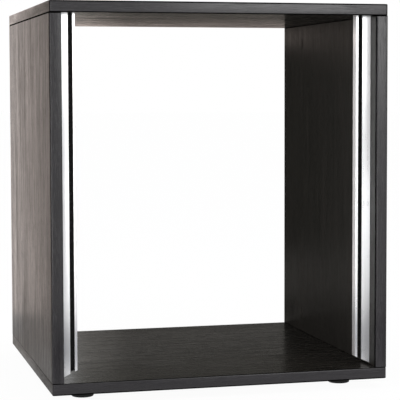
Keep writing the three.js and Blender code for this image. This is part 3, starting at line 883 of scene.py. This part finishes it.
class Strip:
    """A flat strip with a chamfered and threaded hole in each of its cells."""

    def __init__(self, low, high):
        self.low = low
        self.high = high
        self.shape = bmesh.new()
        self.known = {}

    def corner(self, x, y, z):
        """The point at a place, shared by all the faces that meet there."""
        key = tuple(round(value * POINTS_IN_METRE) for value in (x, y, z))
        if key not in self.known:
            self.known[key] = self.shape.verts.new((x, y, z))
        return self.known[key]

    def join(self, first, second):
        """Faces between two closed rings."""
        for step in range(len(first)):
            after = (step + 1) % len(first)
            self.shape.faces.new([first[step], first[after], second[after], second[step]])

    def border(self, y, bottom, top):
        """Points round a cell's rectangle, in the order of their angles from its centre."""
        left, right = self.low.x, self.high.x
        shares = [step / EDGE_POINTS for step in range(EDGE_POINTS)]
        points = [(right, bottom + (top - bottom) * share) for share in shares]
        points += [(right + (left - right) * share, top) for share in shares]
        points += [(left, top + (bottom - top) * share) for share in shares]
        points += [(left + (right - left) * share, bottom) for share in shares]
        return [self.corner(x, y, z) for x, z in points]

    def cell(self, bottom, top, centre):
        """A length of the strip with its hole, from the front face through the thread to the back."""
        middle = (self.low.x + self.high.x) / 2
        front = self.border(self.low.y, bottom, top)
        back = self.border(self.high.y, bottom, top)
        angles = [math.atan2(vert.co.z - centre, vert.co.x - middle) for vert in front]

        def ring(depth, radii):
            y = self.low.y + depth
            spots = zip(angles, radii)
            return [self.corner(middle + r * math.cos(a), y, centre + r * math.sin(a)) for a, r in spots]

        thickness = self.high.y - self.low.y
        plain = [TAPPED_RADIUS] * len(angles)
        wide = [TAPPED_RADIUS + HOLE_CHAMFER] * len(angles)
        rings = [front, ring(0, wide), ring(HOLE_CHAMFER, plain)]
        threaded = thickness - 2 * HOLE_CHAMFER
        rows = int(threaded / THREAD_PITCH * THREAD_ROWS_IN_PITCH)
        for row in range(1, rows):
            depth = HOLE_CHAMFER + threaded * row / rows
            turns = [depth / THREAD_PITCH - angle / (2 * math.pi) for angle in angles]
            rings.append(ring(depth, [TAPPED_RADIUS + THREAD_DEPTH * tooth(turn) for turn in turns]))
        rings += [ring(thickness - HOLE_CHAMFER, plain), ring(thickness, wide), back]
        for first, second in zip(rings, rings[1:]):
            self.join(first, second)
        self.walls(bottom, top, EDGE_POINTS)

    def walls(self, bottom, top, parts):
        for x in (self.low.x, self.high.x):
            for step in range(parts):
                z0 = bottom + (top - bottom) * step / parts
                z1 = bottom + (top - bottom) * (step + 1) / parts
                corners = [(self.low.y, z0), (self.high.y, z0), (self.high.y, z1), (self.low.y, z1)]
                self.shape.faces.new([self.corner(x, y, z) for y, z in corners])

    def plain(self, bottom, top, closed_at):
        """A solid length without a hole, closed at one end."""
        width = self.high.x - self.low.x
        across = [self.low.x + width * step / EDGE_POINTS for step in range(EDGE_POINTS + 1)]
        for y in (self.low.y, self.high.y):
            for x0, x1 in zip(across, across[1:]):
                corners = [(x0, bottom), (x1, bottom), (x1, top), (x0, top)]
                self.shape.faces.new([self.corner(x, y, z) for x, z in corners])
        self.walls(bottom, top, 1)
        for x0, x1 in zip(across, across[1:]):
            corners = [(x0, self.low.y), (x1, self.low.y), (x1, self.high.y), (x0, self.high.y)]
            self.shape.faces.new([self.corner(x, y, closed_at) for x, y in corners])


def threaded_strip(side):
    """A strip with the standard's holes, cut on a slant at its lower end as its rail is."""
    name = f"{side}_threaded_strip"
    low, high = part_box(name)
    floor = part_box("bottom_panel")[1].z
    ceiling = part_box("top_panel")[0].z
    cells = strip_cells(floor, ceiling)
    strip = Strip(low, high)
    for bottom, top, centre in cells:
        strip.cell(bottom, top, centre)
    first, last = cells[0][0], cells[-1][1]
    strip.plain(floor, first, floor)
    strip.plain(last, high.z, high.z)
    shape = strip.shape
    bmesh.ops.recalc_face_normals(shape, faces=shape.faces[:])
    if side == "left":
        slice_at(shape, low, Vector((END_SLOPE, 0, -1)))
    else:
        slice_at(shape, Vector((high.x, low.y, low.z)), Vector((-END_SLOPE, 0, -1)))
    return add_piece(f"{side}_tapped_strip", shape, MATERIALS["strip_black"], [name])


# Camera and studio

def place_camera():
    ahead = Vector(
        (
            math.sin(CAMERA_YAW) * math.cos(CAMERA_PITCH),
            math.cos(CAMERA_YAW) * math.cos(CAMERA_PITCH),
            -math.sin(CAMERA_PITCH),
        )
    )
    level_right = Vector((math.cos(CAMERA_YAW), -math.sin(CAMERA_YAW), 0))
    right = Quaternion(ahead, CAMERA_ROLL) @ level_right
    up = right.cross(ahead)
    data = bpy.data.cameras.new("camera")
    data.sensor_fit = "HORIZONTAL"
    data.sensor_width = SENSOR_WIDTH
    data.lens = FOCAL_PIXELS / IMAGE_SIZE * SENSOR_WIDTH
    data.shift_x = 0.5 - OPTICAL_CENTRE[0] / IMAGE_SIZE
    data.shift_y = OPTICAL_CENTRE[1] / IMAGE_SIZE - 0.5
    camera = linked_object("camera", data)
    turn = Matrix((right, up, -ahead)).transposed().to_4x4()
    camera.matrix_world = Matrix.Translation(CAMERA_PLACE) @ turn
    bpy.context.scene.camera = camera


def ray_kinds(tree):
    """Whether a ray comes from the camera, and whether it comes from a mirroring or clear surface."""
    path = node(tree, "ShaderNodeLightPath")
    mirrored = math_node(
        tree, "MAXIMUM", path.outputs["Is Glossy Ray"], path.outputs["Is Transmission Ray"]
    )
    return path.outputs["Is Camera Ray"], mirrored


def light_world():
    """Soft light from all sides. It isn't importance sampled, so that its kinds of ray keep apart."""
    world = bpy.data.worlds.new("studio")
    world.use_nodes = True
    tree = world.node_tree
    tree.nodes.clear()
    camera_ray, mirrored = ray_kinds(tree)
    direction = node(tree, "ShaderNodeTexCoord").outputs["Generated"]
    upward = axes_of(tree, direction)["Z"]
    backdrop = level(tree, upward, BACKDROP_TOP, (1.0, CEILING_MIRRORED))
    seen = math_node(tree, "MAXIMUM", camera_ray, math_node(tree, "MULTIPLY", mirrored, backdrop))
    plain = node(tree, "ShaderNodeBackground", {"Color": opaque(WORLD_COLOUR)})
    white = node(tree, "ShaderNodeBackground", {"Color": opaque(WHITE)})
    mix = node(tree, "ShaderNodeMixShader", {0: seen, 1: plain.outputs[0], 2: white.outputs[0]})
    output = tree.nodes.new("ShaderNodeOutputWorld")
    tree.links.new(mix.outputs[0], output.inputs["Surface"])
    world.cycles.sampling_method = "NONE"
    bpy.context.scene.world = world


def light_lamps():
    for name, lamp in LAMPS.items():
        data = bpy.data.lights.new(name, "AREA")
        data.shape = "RECTANGLE"
        data.size, data.size_y = lamp["size"]
        data.energy = lamp["radiance"] * math.pi * data.size * data.size_y
        data.color = lamp["colour"]
        data.spread = math.radians(lamp.get("spread", FULL_SPREAD))
        light = linked_object(name, data)
        place = Vector(lamp["place"])
        turn = (Vector(lamp["aim"]) - place).to_track_quat("-Z", "Y").to_matrix().to_4x4()
        light.matrix_world = Matrix.Translation(place) @ turn
        light.visible_camera = False


def stand_cards():
    """Glowing cards beside and behind the rack that only reflections show: painted reflections."""
    for name, card in CARDS.items():
        (x0, y0), (x1, y1) = card["from"], card["to"]
        corners = [(x0, y0, 0), (x1, y1, 0), (x1, y1, card["top"]), (x0, y0, card["top"])]
        mesh = bpy.data.meshes.new(name)
        mesh.from_pydata(corners, [], [(0, 1, 2, 3)])
        material, tree = new_material(name)
        parts = axes_of(tree, object_place(tree))
        tone = ramp(tree, parts["Z"], card["tones"])
        strength = CARD_STRENGTH
        if card["paler_until"] is not None:
            strengths = (CARD_STRENGTH * CARD_PALER, CARD_STRENGTH)
            strength = level(tree, parts["X"], (x0, card["paler_until"]), strengths)
        # Glow that paints the cards' reflections
        glow = node(tree, "ShaderNodeEmission", {"Color": tone, "Strength": strength})
        finish_material(tree, glow.outputs[0])
        mesh.materials.append(material)
        made = linked_object(name, mesh)
        made.visible_camera = False
        made.visible_diffuse = False
        made.visible_shadow = False


def lay_floor():
    """A matt floor that is nearly white to the camera, and that reflections show in painted shades that
    change with Y.
    """
    shape = bmesh.new()
    bmesh.ops.create_circle(shape, cap_ends=True, segments=FLOOR_STEPS, radius=FLOOR_RADIUS)
    mesh = bpy.data.meshes.new("floor")
    shape.to_mesh(mesh)
    shape.free()
    floor = linked_object("floor", mesh)
    material, tree = new_material("floor")
    camera_ray, mirrored = ray_kinds(tree)
    near, far = FLOOR_MIRRORED_Y
    depth = level(tree, axes_of(tree, object_place(tree))["Y"], FLOOR_MIRRORED_Y)
    # Painted shade on the floor, seen only in reflections
    painted_floor_shade = ramp(tree, depth, [((y - near) / (far - near), colour) for y, colour in FLOOR_MIRRORED])
    seen_white = math_node(tree, "MULTIPLY", camera_ray, FLOOR_SEEN_WHITE)
    share = math_node(tree, "MAXIMUM", seen_white, mirrored)
    matt = node(tree, "ShaderNodeBsdfDiffuse", {"Color": opaque(FLOOR_COLOUR)}).outputs[0]
    glow_colour = mixed(tree, mirrored, opaque(WHITE), painted_floor_shade)
    glow = node(tree, "ShaderNodeEmission", {"Color": glow_colour}).outputs[0]
    finish_material(tree, node(tree, "ShaderNodeMixShader", {0: share, 1: matt, 2: glow}).outputs[0])
    mesh.materials.append(material)


dress_cad_nodes()
NODES = list(frame["nodes"])
for band_name in [n for n in NODES if n.endswith("_edge_band")]:
    edge_band(band_name)
for foot_name in [n for n in NODES if n.endswith("_foot")]:
    foot(foot_name)
for cam_name in [n for n in NODES if n.endswith("_cam")]:
    cam_cover(cam_name)
for side_name in ("left", "right"):
    threaded_strip(side_name)
place_screws([n for n in NODES if "_rail_screw_" in n], RAIL_SCREW, sideways=True)
place_screws([n for n in NODES if n.endswith("_foot_screw")], FOOT_SCREW, sideways=False)

place_camera()
light_world()
light_lamps()
stand_cards()
lay_floor()
bpy.context.scene.view_settings.view_transform = "Standard"
